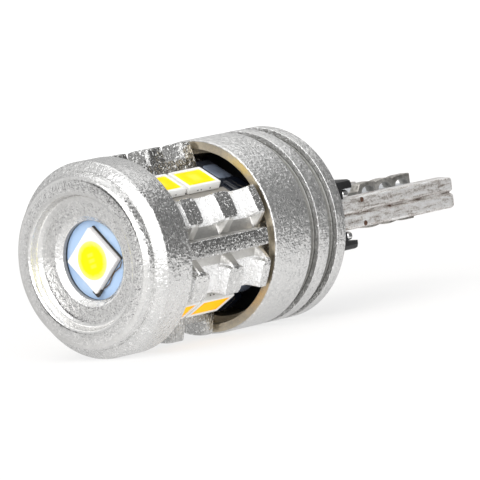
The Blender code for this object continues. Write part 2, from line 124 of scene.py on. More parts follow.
def makePiece(name, points, materials, nodes=(), wrapRows=False, capEnds=True, faceSlots=None,
              sharp=34):
    # Rows of points, each row a closed loop, become a skin; the two end loops are closed by a face.
    # Doubles at poles are merged, and faces are turned outwards.
    rows, cols = points.shape[:2]
    index = np.arange(rows * cols).reshape(rows, cols)
    nextRow = np.roll(index, -1, 0) if wrapRows else index[1:]
    thisRow = index if wrapRows else index[:-1]
    quads = np.stack([thisRow, nextRow, np.roll(nextRow, -1, 1), np.roll(thisRow, -1, 1)], -1)
    faces = quads.reshape(-1, 4).tolist()
    slots = [] if faceSlots is None else np.asarray(faceSlots)[:len(thisRow)].reshape(-1).tolist()
    if capEnds and not wrapRows:
        faces += [index[0].tolist(), index[-1][::-1].tolist()]
        slots += [0, 0] if slots else []
    mesh = bpy.data.meshes.new(name)
    mesh.from_pydata(points.reshape(-1, 3).tolist(), [], faces)
    if slots:
        mesh.polygons.foreach_set("material_index", np.array(slots, np.int32))
    shape = bmesh.new()
    shape.from_mesh(mesh)
    bmesh.ops.remove_doubles(shape, verts=shape.verts, dist=1e-8)
    bmesh.ops.recalc_face_normals(shape, faces=shape.faces)
    shape.to_mesh(mesh)
    shape.free()
    return addPiece(name, mesh, materials, nodes, sharp)


def nestedRings(halfA, halfB, corner, rings, arcSteps=6):
    # A rounded rectangle, drawn inwards ring by ring: each ring is (inset, height).
    # The corner's radius shrinks with the inset and the middle of its arc stays put.
    least = 0.012
    turn = np.linspace(0, pi / 2, arcSteps + 1)
    loops = []
    for inset, height in rings:
        radius = max(corner - inset, least)
        away = max(corner, inset + least)
        for k, (signA, signB) in enumerate(((1, 1), (-1, 1), (-1, -1), (1, -1))):
            angle = turn + k * pi / 2
            loops.append(np.stack([signA * (halfA - away) + radius * np.cos(angle),
                                   signB * (halfB - away) + radius * np.sin(angle),
                                   np.full(len(turn), height)], -1))
    return np.array(loops).reshape(len(rings), -1, 3)


def circleRings(angles, rings):
    # Level circles, each of them (radius, height).
    return np.array([np.column_stack([radius * np.cos(angles), radius * np.sin(angles),
                                      np.full(len(angles), height)]) for radius, height in rings])


def placed(local, origin, axisA, axisB, axisUp):
    # Local a, b and height lengths in millimetres, laid along three world directions.
    return (local @ np.array([axisA, axisB, axisUp], float)) * mm + np.array(origin)


def windowFrame(window, x, across, height):
    # A place in a window at x, and the directions along the bulb, across the window and out of it.
    angle = windowAngles[window]
    outward = np.array([0, -np.cos(angle), np.sin(angle)])
    sideways = np.array([0, np.sin(angle), np.cos(angle)])
    origin = np.array([x, 0, axisHeight * mm]) + (sideways * across + outward * height) * mm
    return origin, np.array([1.0, 0, 0]), sideways, outward


# Shader nodes.

def link(tree, source, target):
    # A socket is linked, and anything else becomes the target's fixed value.
    if isinstance(source, bpy.types.NodeSocket):
        tree.links.new(source, target)
    else:
        target.default_value = source


def fill(tree, made, **inputs):
    for key, value in inputs.items():
        link(tree, value, made.inputs[key.replace("_", " ")])


def node(tree, kind, **settings):
    # A setting is one of the node's inputs, or else one of its attributes.
    made = tree.nodes.new(kind)
    for key, value in settings.items():
        if key.replace("_", " ") in made.inputs:
            fill(tree, made, **{key: value})
        else:
            setattr(made, key, value)
    return made


def mathNode(tree, operation, *values, clamp=False):
    made = node(tree, "ShaderNodeMath", operation=operation, use_clamp=clamp)
    for socket, value in zip(made.inputs, values):
        link(tree, value, socket)
    return made.outputs[0]


def add(tree, a, b, clamp=False):
    return mathNode(tree, "ADD", a, b, clamp=clamp)


def minus(tree, a, b, clamp=False):
    return mathNode(tree, "SUBTRACT", a, b, clamp=clamp)


def times(tree, first, *others):
    for other in others:
        first = mathNode(tree, "MULTIPLY", first, other)
    return first


def vectorMath(tree, operation, *values):
    made = node(tree, "ShaderNodeVectorMath", operation=operation)
    for socket, value in zip(made.inputs, values):
        link(tree, value, socket)
    return made.outputs["Value" if operation in ("DOT_PRODUCT", "LENGTH", "DISTANCE") else "Vector"]


def smoothStep(tree, value, low, high):
    return node(tree, "ShaderNodeMapRange", interpolation_type="SMOOTHSTEP", Value=value, From_Min=low,
                From_Max=high).outputs["Result"]


def facing(tree, vector, direction, low, high):
    # A smooth step of the dot product between a vector and a fixed direction.
    along = vectorMath(tree, "DOT_PRODUCT", vector, Vector(direction).normalized())
    return smoothStep(tree, along, low, high)


def ramp(tree, value, stops):
    made = node(tree, "ShaderNodeValToRGB", Fac=value)
    elements = made.color_ramp.elements
    while len(elements) < len(stops):
        elements.new(0.5)
    for element, (place, colour) in zip(elements, stops):
        element.position = place
        element.color = (*colour, 1)
    return made.outputs["Color"]


def mixColour(tree, mask, under, over):
    mix = node(tree, "ShaderNodeMix", data_type="RGBA", Factor=mask)
    link(tree, under, mix.inputs[6])
    link(tree, (*over, 1), mix.inputs[7])
    return mix.outputs[2]


def bump(tree, height, distance):
    return node(tree, "ShaderNodeBump", Strength=1.0, Distance=distance, Height=height).outputs["Normal"]


def objectCoords(tree):
    return tree.nodes.new("ShaderNodeTexCoord").outputs["Object"]


def newGroup(name, inputs, outputs):
    group = bpy.data.node_groups.new(name, "ShaderNodeTree")
    for label, value in inputs.items():
        socket = group.interface.new_socket(label, in_out="INPUT", socket_type="NodeSocketFloat")
        socket.default_value = value
    for label in outputs:
        group.interface.new_socket(label, in_out="OUTPUT", socket_type="NodeSocketFloat")
    return group, group.nodes.new("NodeGroupInput").outputs, group.nodes.new("NodeGroupOutput")


def placeGroup(tree, group, **values):
    return node(tree, "ShaderNodeGroup", node_tree=group, **values).outputs


def makeGrainGroup():
    # Cast grain: every cell leans its own way, height = (point - cell middle) . (cell colour - 1/2),
    # faded towards the cell's rim, over larger lumps. Spark is a random value for each cell,
    # and Lump is the lumps' own noise.
    group, given, result = newGroup("castGrain", {"Scale": 9000.0, "Lean": 1.0, "Lumps": 0.5},
                                    ("Height", "Spark", "Lump"))
    coords = objectCoords(group)
    cells = node(group, "ShaderNodeTexVoronoi", Vector=coords, Scale=given["Scale"]).outputs
    away = vectorMath(group, "SUBTRACT", coords, cells["Position"])
    lean = vectorMath(group, "SUBTRACT", cells["Color"], (0.5, 0.5, 0.5))
    fade = minus(group, 1.0, times(group, cells["Distance"], 1.1), clamp=True)
    tilt = times(group, vectorMath(group, "DOT_PRODUCT", away, lean), given["Scale"], given["Lean"], fade)
    lumps = node(group, "ShaderNodeTexNoise", Vector=coords, Scale=times(group, given["Scale"], 0.6),
                 Detail=3.0, Roughness=0.6).outputs["Fac"]
    spark = node(group, "ShaderNodeSeparateColor", Color=cells["Color"]).outputs["Red"]
    height = add(group, tilt, times(group, lumps, given["Lumps"]))
    fill(group, result, Height=height, Spark=spark, Lump=lumps)
    return group


def makeStainGroup():
    # Soft patches: a warped noise pushed through a smooth step between Low and High.
    group, given, result = newGroup("softStain", {"Scale": 900.0, "Low": 0.45, "High": 0.65}, ("Mask",))
    noise = node(group, "ShaderNodeTexNoise", Vector=objectCoords(group), Scale=given["Scale"], Detail=5.0,
                 Roughness=0.62, Distortion=0.6).outputs["Fac"]
    fill(group, result, Mask=smoothStep(group, noise, given["Low"], given["High"]))
    return group


grainGroup = makeGrainGroup()
stainGroup = makeStainGroup()


# Materials.

def newMaterial(name):
    material = bpy.data.materials.new(name)
    material.use_nodes = True
    tree = material.node_tree
    return material, tree, tree.nodes["Principled BSDF"]


def grey(level, green=0.0, blue=0.0):
    # A grey, made warmer by what its green and blue lose.
    return (level, level - green, level - blue)


def castMetal(name, light, dark, roughness, grainScale, slope, lumps=0.8, sparkShare=0.5, metallic=1.0,
              hollowShade=0.6, flecks=2.0, calm=()):
    # Cast metal: colour and gloss vary from facet to facet, with faint soft patches and painted shade in
    # the hollows of the lumps.
    # A facet leans by up to slope / 2, so the bump's depth is slope / grainScale.
    # Where a noise passes flecks, a grain is painted white and less metallic: painted glints. The grain
    # fades out where every calm step is passed, each of them a direction and two distances along it.
    material, tree, shader = newMaterial(name)
    grain = placeGroup(tree, grainGroup, Scale=grainScale, Lean=1.0, Lumps=lumps)
    patches = placeGroup(tree, stainGroup, Scale=700.0, Low=0.35, High=0.7)["Mask"]
    tone = add(tree, times(tree, grain["Spark"], sparkShare), times(tree, patches, 1 - sparkShare))
    # Painted shade: where the lumps' noise is low, the tone is darkened by hollowShade.
    tone = add(tree, tone, times(tree, minus(tree, grain["Lump"], 0.5), hollowShade))
    faded = 0.8 if calm else 0.0
    for direction, low, high in calm:
        faded = times(tree, faded, facing(tree, objectCoords(tree), direction, low, high))
    grainy = minus(tree, 1.0, faded)
    # Painted glints: white, less metallic flecks, which fade out with the grain.
    white = placeGroup(tree, stainGroup, Scale=1.25 * grainScale, Low=flecks - 0.01,
                       High=flecks + 0.03)["Mask"]
    white = times(tree, white, grainy)
    bare = minus(tree, 1.0, times(tree, white, 0.85))
    rough = node(tree, "ShaderNodeMapRange", Value=grain["Spark"], To_Min=roughness[0],
                 To_Max=roughness[1]).outputs["Result"]
    tint = mixColour(tree, white, ramp(tree, tone, ((0.0, dark), (1.0, light))), (0.95, 0.95, 0.94))
    fill(tree, shader, Base_Color=tint, Metallic=times(tree, bare, metallic), Roughness=rough,
         Normal=bump(tree, times(tree, grain["Height"], grainy), slope / grainScale))
    return material


def aluminium(level):
    return grey(level, 0.005, 0.015)


# The cap is smooth high up at its back: heights over the axis and stations where that begins and ends.
calmAbove = [(axisHeight + height) * mm for height in (4.4, 5.2)]
calmBehind = [(noseX + station) * mm for station in (1.0, 1.7)]
castMaterial = castMetal("castAluminium", aluminium(0.80), grey(0.62, 0, 0.005), (0.12, 0.24), 5000, 0.92,
                         lumps=0.5, flecks=0.60)
capMaterial = castMetal("castCap", aluminium(0.80), grey(0.70, 0, 0.005), (0.18, 0.32), 5600, 0.68,
                        lumps=0.5, flecks=0.62, calm=(((0, 0, 1), *calmAbove), ((1, 0, 0), *calmBehind)))
# A darker copy of the cast metal with a coarser grain, for the top post: painted shade over a real coarse
# grain.
coarseShadeMaterial = castMetal("castCoarseShaded", aluminium(0.50), grey(0.30, 0, 0.005), (0.14, 0.26), 4600, 1.0,
                           lumps=0.6, flecks=0.57)
barMaterial = castMetal("castBar", aluminium(0.60), grey(0.44, 0, 0.005), (0.16, 0.28), 5200, 0.70,
                        lumps=0.5, flecks=0.58)
faceMaterial = castMetal("castFace", aluminium(0.89), grey(0.76, 0.005, 0.01), (0.18, 0.24), 6500, 0.30,
                         lumps=1.3, sparkShare=0.9, hollowShade=1.0)
beadMaterial = castMetal("smoothBead", aluminium(0.84), aluminium(0.74), (0.12, 0.18), 6000, 0.09,
                         lumps=2.0, sparkShare=0.6, hollowShade=0.5)
satinMaterial = castMetal("blastedSatin", aluminium(0.82), grey(0.72, 0, 0.005), (0.30, 0.44), 6500, 0.85,
                          lumps=0.5, sparkShare=1.0, flecks=0.63)
slopeMaterial = castMetal("smoothSlope", (0.72, 0.71, 0.69), (0.62, 0.61, 0.59), (0.35, 0.45), 9000, 0.2)
# A darker copy of the collar's metal for the floors of its grooves: painted shade.
grooveShadeMaterial = castMetal("grooveFloorShade", (0.34, 0.335, 0.32), (0.26, 0.26, 0.25), (0.35, 0.5), 8000, 0.4)
# A whiter, less metallic copy of the cast metal for the front post's slot floors: painted highlight.
slotHighlightMaterial = castMetal("slotFloorHighlight", grey(0.99), grey(0.88), (0.22, 0.40), 5200, 0.9, metallic=0.38)
# The hole's wall is the cast metal darkened, near black deep in and mid grey at its rim: painted shade.
holeWallShadeMaterial = castMetal("shadedWall", grey(0.10), grey(0.04), (0.35, 0.5), 8000, 0.3)
holeRimShadeMaterial = castMetal("holeRim", (0.42, 0.41, 0.40), (0.28, 0.27, 0.26), (0.45, 0.6), 8000, 0.3,
                        metallic=0.3)
# The collar's front lip is painted tan: a painted reflection of the yellow leds.
lipReflectionMaterial = castMetal("lipPaintedReflection", (0.82, 0.72, 0.55), (0.62, 0.56, 0.46), (0.3, 0.42), 9000, 0.15)
coreMaterial = castMetal("drawnBar", grey(0.6), grey(0.45), (0.35, 0.5), 5000, 0.05)
solderBright = castMetal("solderBright", grey(0.9), grey(0.7), (0.12, 0.25), 1500, 0.05)
stripMaterial = castMetal("springStrip", (0.80, 0.77, 0.72), (0.34, 0.325, 0.30), (0.3, 0.5), 4500, 0.2,
                          sparkShare=0.4)


def plainMaterial(name, colour, roughness, scale, depth, second=None, **sockets):
    # A moulded or coated surface: a base colour with soft patches of a second one and a fine grain.
    material, tree, shader = newMaterial(name)
    second = second or tuple(channel * 0.93 for channel in colour)
    patches = placeGroup(tree, stainGroup, Scale=scale / 6, Low=0.45, High=0.7)["Mask"]
    grain = placeGroup(tree, grainGroup, Scale=scale, Lean=0.6, Lumps=0.8)["Height"]
    fill(tree, shader, Base_Color=ramp(tree, patches, ((0.0, colour), (1.0, second))), Roughness=roughness,
         Normal=bump(tree, grain, depth), **sockets)
    return material


boardBlue = plainMaterial("frontBoardBlue", (0.48, 0.66, 0.93), 0.35, 3000, 0.000004, (0.58, 0.74, 0.95))
boardDark = plainMaterial("sideBoardMask", (0.020, 0.024, 0.036), 0.16, 2500, 0.000004, (0.045, 0.05, 0.06))
packageWhite = plainMaterial("ledPackage", (0.90, 0.90, 0.88), 0.38, 4000, 0.000003, (0.84, 0.83, 0.80))
# The package's outer wall, a little warmer than its top, with a faint glow of painted light where it stands
# in shade.
packageSideGlow = plainMaterial("ledPackageSideGlow", (0.82, 0.77, 0.73), 0.45, 4000, 0.000003,
                            Emission_Strength=0.10, Emission_Color=(1.0, 0.95, 0.90, 1.0))
holderBlack = plainMaterial("holderPlastic", (0.012, 0.012, 0.013), 0.42, 3500, 0.00001,
                            (0.02, 0.02, 0.022))
plateGrey = plainMaterial("wedgePlate", (0.60, 0.63, 0.67), 0.18, 3000, 0.000006, (0.36, 0.38, 0.41))
chipBlack = plainMaterial("chipBody", (0.03, 0.03, 0.032), 0.45, 3000, 0.00001)
resistorDark = plainMaterial("resistorBody", (0.08, 0.08, 0.09), 0.4, 3000, 0.00001)
padGrey = plainMaterial("solderPad", (0.17, 0.20, 0.26), 0.2, 2500, 0.00001, (0.09, 0.11, 0.15))
glassDark = plainMaterial("glassyBlob", (0.006, 0.008, 0.014), 0.06, 1500, 0.000004)
fluxBrown = plainMaterial("fluxResidue", (0.16, 0.09, 0.035), 0.25, 5000, 0.00001, (0.03, 0.018, 0.01))
# The black of the gate marks and the dab, also used for the painted shadow at the front led's foot.
markAndShadowBlack = plainMaterial("gateMarkAndShadow", (0.03, 0.026, 0.022), 0.6, 5000, 0.000005)


bareEdge = {"fromAxis": 4.285 * mm, "until": (noseX + 10.9) * mm, "fade": 0.0001, "gloss": 0.16,
            "colour": (0.34, 0.32, 0.29)}


def addBareEdges(material):
    # Past a distance from the bulb's axis, and up to a place along it, the mask leaves bare metal.
    b = bareEdge
    tree = material.node_tree
    shader = tree.nodes["Principled BSDF"]
    coords = objectCoords(tree)
    fromMiddle = vectorMath(tree, "MULTIPLY_ADD", coords, (0, 1, 1), (0, 0, -axisHeight * mm))
    past = mathNode(tree, "GREATER_THAN", vectorMath(tree, "LENGTH", fromMiddle), b["fromAxis"])
    bare = facing(tree, coords, (-1, 0, 0), -b["until"] - b["fade"], -b["until"] + b["fade"])
    bare = times(tree, past, bare)
    masked = shader.inputs["Base Color"].links[0].from_socket
    fill(tree, shader, Base_Color=mixColour(tree, bare, masked, b["colour"]),
         Roughness=add(tree, times(tree, bare, 0.5 - b["gloss"]), b["gloss"]))


addBareEdges(boardDark)


def phosphorMaterial(name, colour, edge, centre, radius, glow, dies):
    # Phosphor fill: the colour pales at the led's rim and over its dies, with a fine sandy grain.
    # dies holds two directions across the led, the dies' pitch and how far out they reach along both.
    # A faint glow stands for the light that the phosphor turns from blue to yellow.
    material, tree, shader = newMaterial(name)
    coords = objectCoords(tree)
    grain = placeGroup(tree, grainGroup, Scale=9000, Lean=0.5, Lumps=0.9)
    share = mathNode(tree, "DIVIDE", vectorMath(tree, "DISTANCE", coords, centre), radius)
    noisy = add(tree, share, times(tree, grain["Spark"], 0.06))
    mask = 0.17 if dies else 0.0
    for direction, pitch, reach in dies:
        along = vectorMath(tree, "DOT_PRODUCT", coords, direction)
        offset = minus(tree, along, float(np.dot(direction, centre)))
        within = mathNode(tree, "LESS_THAN", mathNode(tree, "ABSOLUTE", offset), reach)
        wave = mathNode(tree, "COSINE", times(tree, offset, 2 * pi / pitch))
        mask = times(tree, within, add(tree, times(tree, wave, 0.8), 0.7, clamp=True), mask)
    tint = ramp(tree, noisy, ((0.0, colour), (0.74, colour), (1.0, edge)))
    tint = mixColour(tree, mask, tint, (1.0, 0.95, 0.30))
    fill(tree, shader, Base_Color=tint, Emission_Color=tint, Emission_Strength=glow, Roughness=0.55,
         Specular_IOR_Level=0.12, Normal=bump(tree, grain["Height"], 0.000008))
    return material


tin = {"streaks": 0.76, "sand": 0.24, "lightBandShift": 0.17, "spotSize": 0.18 * mm, "spotSide": -4.75 * mm,
       "spots": ((21.95, 0.80), (22.06, -0.76)), "brown": (0.15, 0.08, 0.055), "height": 2.05 * mm,
       "lightBands": ((0.05, 0.42), (0.22, 0.55), (0.40, 0.85), (0.49, 0.05), (0.55, 0.40), (0.66, 0.62),
                 (0.80, 0.40), (0.97, 0.58)),
       "tints": ((0.36, (0.22, 0.17, 0.14)), (0.44, (0.50, 0.46, 0.43)), (0.51, (0.82, 0.80, 0.78)),
                 (0.60, (0.97, 0.97, 0.97)))}


def mottledTin():
    # Tinned edge: dull silver with brownish streaks along the axis, painted highlight and shade in bands by
    # height (a bright band on the lower ridge, a dark line in the groove), a sandy grain, dark specks in
    # the middle of few cells and two brown spots.
    material, tree, shader = newMaterial("mottledTin")
    coords = objectCoords(tree)
    stretched = node(tree, "ShaderNodeMapping", Vector=coords, Scale=(0.17, 1.0, 1.0)).outputs["Vector"]
    streaks = node(tree, "ShaderNodeTexNoise", Vector=stretched, Scale=3200.0, Detail=6.0, Roughness=0.72,
                   Distortion=0.4)
    sand = node(tree, "ShaderNodeTexNoise", Vector=coords, Scale=7500.0, Detail=2.0, Roughness=0.6)
    mottle = add(tree, times(tree, streaks.outputs["Fac"], tin["streaks"]),
                 times(tree, sand.outputs["Fac"], tin["sand"]))
    up = node(tree, "ShaderNodeSeparateXYZ", Vector=coords).outputs["Z"]
    height = mathNode(tree, "DIVIDE", minus(tree, up, axisHeight * mm), tin["height"])
    # Painted highlight and shade in bands by height over the axis.
    lightBands = ramp(tree, add(tree, height, 0.5), [(place, grey(level)) for place, level in tin["lightBands"]])
    mottle = add(tree, mottle, times(tree, minus(tree, lightBands, 0.5), tin["lightBandShift"]))
    cells = node(tree, "ShaderNodeTexVoronoi", Vector=coords, Scale=1800.0).outputs
    chance = node(tree, "ShaderNodeSeparateColor", Color=cells["Color"]).outputs["Green"]
    stain = times(tree, mathNode(tree, "LESS_THAN", chance, 0.10),
                  mathNode(tree, "LESS_THAN", cells["Distance"], 0.25))
    for station, above in tin["spots"]:
        spot = ((noseX + station) * mm, tin["spotSide"], (axisHeight + above) * mm)
        near = mathNode(tree, "LESS_THAN", vectorMath(tree, "DISTANCE", coords, spot), tin["spotSize"])
        stain = mathNode(tree, "MAXIMUM", stain, near)
    fill(tree, shader, Base_Color=mixColour(tree, stain, ramp(tree, mottle, tin["tints"]), tin["brown"]),
         Metallic=0.6, Roughness=0.42, Normal=bump(tree, mottle, 0.00006))
    return material


tinnedMaterial = mottledTin()
print("materials ready")


# Camera, lights and floor.

view = {"turn": 41.398, "tilt": 8.236, "roll": 1.8, "nose": (-9.953, 1.457, 372.83), "lens": 450.0}


def makeCamera():
    # The bulb's axis points away from the camera: turned to the right by turn and raised by tilt,
    # with the bulb rolled about it. The nose lies right, down and ahead of the camera by view["nose"].
    turn, tilt, roll = (np.radians(view[key]) for key in ("turn", "tilt", "roll"))
    axis = np.array([np.sin(turn) * np.cos(tilt), -np.sin(tilt), np.cos(turn) * np.cos(tilt)])
    level = np.cross(axis, (0, -1, 0))
    level /= np.linalg.norm(level)
    raised = np.cross(level, axis)
    near = np.cos(roll) * level + np.sin(roll) * raised
    above = np.cos(roll) * raised - np.sin(roll) * level
    rows = np.array([axis, -near, above])  # the world's axes as the camera sees them: right, down, ahead
    camera = bpy.data.objects.new("camera", bpy.data.cameras.new("camera"))
    camera.data.lens = view["lens"]
    camera.data.sensor_width = 36.0
    camera.data.clip_start = 0.01
    camera.data.clip_end = 20.0
    camera.matrix_world = Matrix((rows * (1, -1, -1)).tolist()).to_4x4()
    camera.location = (np.array([noseX, 0, axisHeight]) - rows @ np.array(view["nose"])) * mm
    bpy.context.scene.collection.objects.link(camera)
    bpy.context.scene.camera = camera


def areaLight(name, direction, distance, size, power):
    # A softbox that looks at the bulb from a direction.
    light = bpy.data.lights.new(name, "AREA")
    light.shape = "RECTANGLE"
    light.size, light.size_y = size
    light.energy = power
    lamp = bpy.data.objects.new(name, light)
    away = Vector(direction).normalized()
    lamp.rotation_euler = away.to_track_quat("Z", "Y").to_euler()
    lamp.location = away * distance + Vector((0, 0, axisHeight * mm))
    bpy.context.scene.collection.objects.link(lamp)


# Each side of the room is a direction, the two dot products its edge lies between, and what it adds
# to the wall's level.
room = {"wall": 0.38,
        "left": ((-0.95, 0.20, 0.20), -0.1, 0.6, 0.36),
        "back": ((0.5, 0.85, 0.1), 0.2, 0.9, 0.16),
        "rightFront": ((0.78, -0.52, 0.34), 0.60, 0.84, -0.20),
        "gap": ((-0.90, 0.40, 0.17), 0.945, 0.975, -0.72)}


def makeWorld():
    # A pale room: brighter on the left and at the back, with a dark side at the right front and a
    # small dark gap at the left. To the camera it is white.
    world = bpy.data.worlds.new("studio")
    bpy.context.scene.world = world
    world.use_nodes = True
    tree = world.node_tree
    tree.nodes.clear()
    coords = tree.nodes.new("ShaderNodeTexCoord").outputs["Generated"]
    level = room["wall"]
    for side in ("left", "back", "rightFront", "gap"):
        direction, low, high, change = room[side]
        level = add(tree, times(tree, facing(tree, coords, direction, low, high), change), level)
    seen = tree.nodes.new("ShaderNodeLightPath").outputs["Is Camera Ray"]
    level = mathNode(tree, "MAXIMUM", level, seen)
    glow = node(tree, "ShaderNodeBackground", Color=(1, 1, 1, 1), Strength=level)
    node(tree, "ShaderNodeOutputWorld", Surface=glow.outputs[0])


paper = {"colour": (0.26, 0.255, 0.25), "glow": 0.74, "end": 0.014, "endFade": 0.024, "endDark": 0.88,
         "mirror": 0.66, "glare": 0.30, "towardsGlare": (-0.2, -1.0, 0.0), "glareFrom": -0.004,
         "glareTo": 0.010, "farFrom": 0.03, "farTo": 0.25,
         "reach": 3.0}


def makeFloor():
    # White paper that glows a little, so its shadow stays faint. Far paper is plain white to the
    # camera. In mirror rays it is dimmer, and dark past its end at the right front.
    p = paper
    material, tree, shader = newMaterial("floorPaper")
    tree.nodes.remove(shader)
    place = tree.nodes.new("ShaderNodeNewGeometry").outputs["Position"]
    glossy = tree.nodes.new("ShaderNodeLightPath").outputs["Is Glossy Ray"]
    endwards = Vector(room["rightFront"][0]) * Vector((1, 1, 0))
    past = facing(tree, place, endwards, p["end"], p["end"] + p["endFade"])
    glare = facing(tree, place, p["towardsGlare"], p["glareFrom"], p["glareTo"])
    mirror = times(tree, add(tree, times(tree, glare, p["glare"]), p["mirror"] - 1), glossy)
    kept = minus(tree, 1.0, times(tree, past, glossy, p["endDark"]))
    kept = times(tree, kept, add(tree, mirror, 1.0))
    far = smoothStep(tree, vectorMath(tree, "LENGTH", place), p["farFrom"], p["farTo"])
    strength = times(tree, add(tree, times(tree, far, 1 - p["glow"]), p["glow"]), kept)
    glow = node(tree, "ShaderNodeEmission", Color=(1, 1, 1, 1), Strength=strength)
    red, green, blue = (times(tree, kept, share) for share in p["colour"])
    shade = node(tree, "ShaderNodeCombineColor", Red=red, Green=green, Blue=blue)
    diffuse = node(tree, "ShaderNodeBsdfDiffuse", Color=shade.outputs["Color"])
    both = tree.nodes.new("ShaderNodeAddShader")
    link(tree, diffuse.outputs[0], both.inputs[0])
    link(tree, glow.outputs[0], both.inputs[1])
    fill(tree, tree.nodes["Material Output"], Surface=both.outputs[0])
    mesh = bpy.data.meshes.new("floor")
    r = p["reach"]
    mesh.from_pydata([(-r, -r, 0), (r, -r, 0), (r, r, 0), (-r, r, 0)], [], [(0, 1, 2, 3)])
    mesh.materials.append(material)
    floor = bpy.data.objects.new("floor", mesh)
    bpy.context.scene.collection.objects.link(floor)


makeCamera()
makeWorld()
makeFloor()
areaLight("keySoftbox", (-0.78, -0.42, 0.46), 0.45, (0.62, 0.70), 2.55)
areaLight("topSoftbox", (0.35, 0.10, 0.93), 0.40, (0.42, 0.38), 0.45)
areaLight("lowFill", (-0.25, -0.95, 0.16), 0.50, (0.26, 0.22), 0.36)
bpy.context.scene.view_settings.view_transform = "Standard"
print("camera, lights and floor ready")


# Head cap.

cap = {"length": 3.53, "corner": 1.26, "bead": 5.60, "beadSetback": 0.72, "land": 4.86, "leadIn": 0.30,
       "leadDrop": 0.072, "stepTop": 4.29, "stepFoot": 4.15, "stepDepth": 0.88, "sink": 2.90, "hole": 2.52,
       "holeStart": 1.23, "holeRim": 0.24, "wall": 1.62, "pocket": 4.20, "turnSteps": 300, "castRim": 0.16,
       "smoothInside": 0.38, "smoothOutside": 0.18, "wander": 0.045, "creaseHalf": 0.12,
       "crease": ((0.015, 0.045), (0.05, 0.065), (0.10, 0.07)), "outerEasing": (0.0, 0.14, 0.06, 0.0),
       "innerEasing": (0.05, 0.05, 0.05, 0.02, 0.05, 0.12, 0.44, 0.22, 0.0)}


def makeHeadCap():
    # A closed profile of (radius, station) turned round the axis; the crease wanders a little.
    # The bead round the front is a shallow cone, then a quarter of an ellipse.
    c = cap
    bend = np.linspace(0, pi / 2, 12)
    lead, setback = c["land"] + c["leadIn"], c["beadSetback"]
    bead = np.column_stack([lead + (c["bead"] - lead) * np.sin(bend),
                            c["leadDrop"] + (setback - c["leadDrop"]) * (1 - np.cos(bend))])
    bead = np.concatenate([[(c["land"] + 0.05, 0.004)], bead])
    inner = roundedPath([(c["pocket"], c["length"]), (c["pocket"], c["wall"]), (c["hole"], c["wall"]),
                         (c["hole"], c["holeStart"] + c["holeRim"]), (c["hole"], c["holeStart"]),
                         (c["sink"], c["stepDepth"]), (c["stepFoot"], c["stepDepth"]), (c["stepTop"], 0.0),
                         (c["land"], 0.0)], c["innerEasing"], 9, closed=False)
    crease = np.array(c["crease"]) + (c["bead"], setback)
    outer = roundedPath([crease[2], (bodyRadius, c["corner"]), (bodyRadius, c["length"]),
                         (c["pocket"] + 0.3, c["length"])], c["outerEasing"], 6, closed=False)
    profile = np.concatenate([inner[1:], bead[1:], crease[:2], outer[1:]])
    r, depth = profile.T
    angle = np.linspace(0, 2 * pi, c["turnSteps"], endpoint=False)[:, None]
    nearCrease = np.exp(-((r - c["bead"] - 0.03) / c["creaseHalf"]) ** 2) * (depth < 1.1)
    wander = ripple(angle[:, 0], 4, 5, 90, 40)[:, None]
    points = aroundAxis(r + c["wander"] * wander * nearCrease, 0,
                        depth + 0.02 * np.roll(wander, 9, 0) * nearCrease, angle)
    onFace = (np.arange(len(profile)) < len(inner) + len(bead) - 2) & (depth < c["holeStart"] + 0.02)
    inHole = (r < c["hole"] + 0.02) & (depth > c["holeStart"] - 0.01)
    onStep = ((r > c["stepFoot"] - c["smoothInside"]) & (r < c["stepTop"] + c["smoothOutside"])
              & (depth < c["stepDepth"] - 0.008))
    onBead = (r > c["land"] + 0.01) & (r < c["bead"] - c["castRim"])
    kinds = onFace.astype(int)
    # Painted shade in the hole: the band next to the rim is grey and the deeper wall near black.
    kinds[inHole] = 3 - (depth[inHole] > c["holeStart"] + c["holeRim"])
    kinds[onFace & (onStep | onBead)] = 4
    kinds[onFace & (r >= c["bead"] - c["castRim"])] = 0
    makePiece("headCap", points, [capMaterial, faceMaterial, holeWallShadeMaterial, holeRimShadeMaterial, beadMaterial],
              ["head_casting"], wrapRows=True, faceSlots=np.tile(kinds, (len(angle), 1)))


makeHeadCap()


# Finned posts.

post = {"radius": 6.175, "foot": 5.25, "start": 3.30, "capEnd": 3.53, "undercut": 0.42, "fin": 1.35,
        "slot": 1.90, "end": 11.15, "barEnd": 10.85, "barHalf": 0.55, "finInner": 14.5, "halfAngle": 32.0,
        "boardFace": 4.25, "troughHalf": 1.72, "boardHalf": 2.35, "coreFace": 3.35, "frontDraft": 0.36,
        "backDraft": 0.12, "fillet": 0.24, "planCorner": 0.42, "slopeSteps": 9, "landSteps": 15,
        "wallSteps": 10, "endEase": 0.06, "endEaseFrom": 4.9, "slotBelow": 0.93}


def fromTrough(height, side):
    return (height * 0.5 + side * np.sqrt(0.75), height * np.sqrt(0.75) - side * 0.5)


def arcPoints(radius, start, end, steps):
    angle = np.radians(np.linspace(start, end, steps))
    return np.column_stack([radius * np.cos(angle), radius * np.sin(angle)])


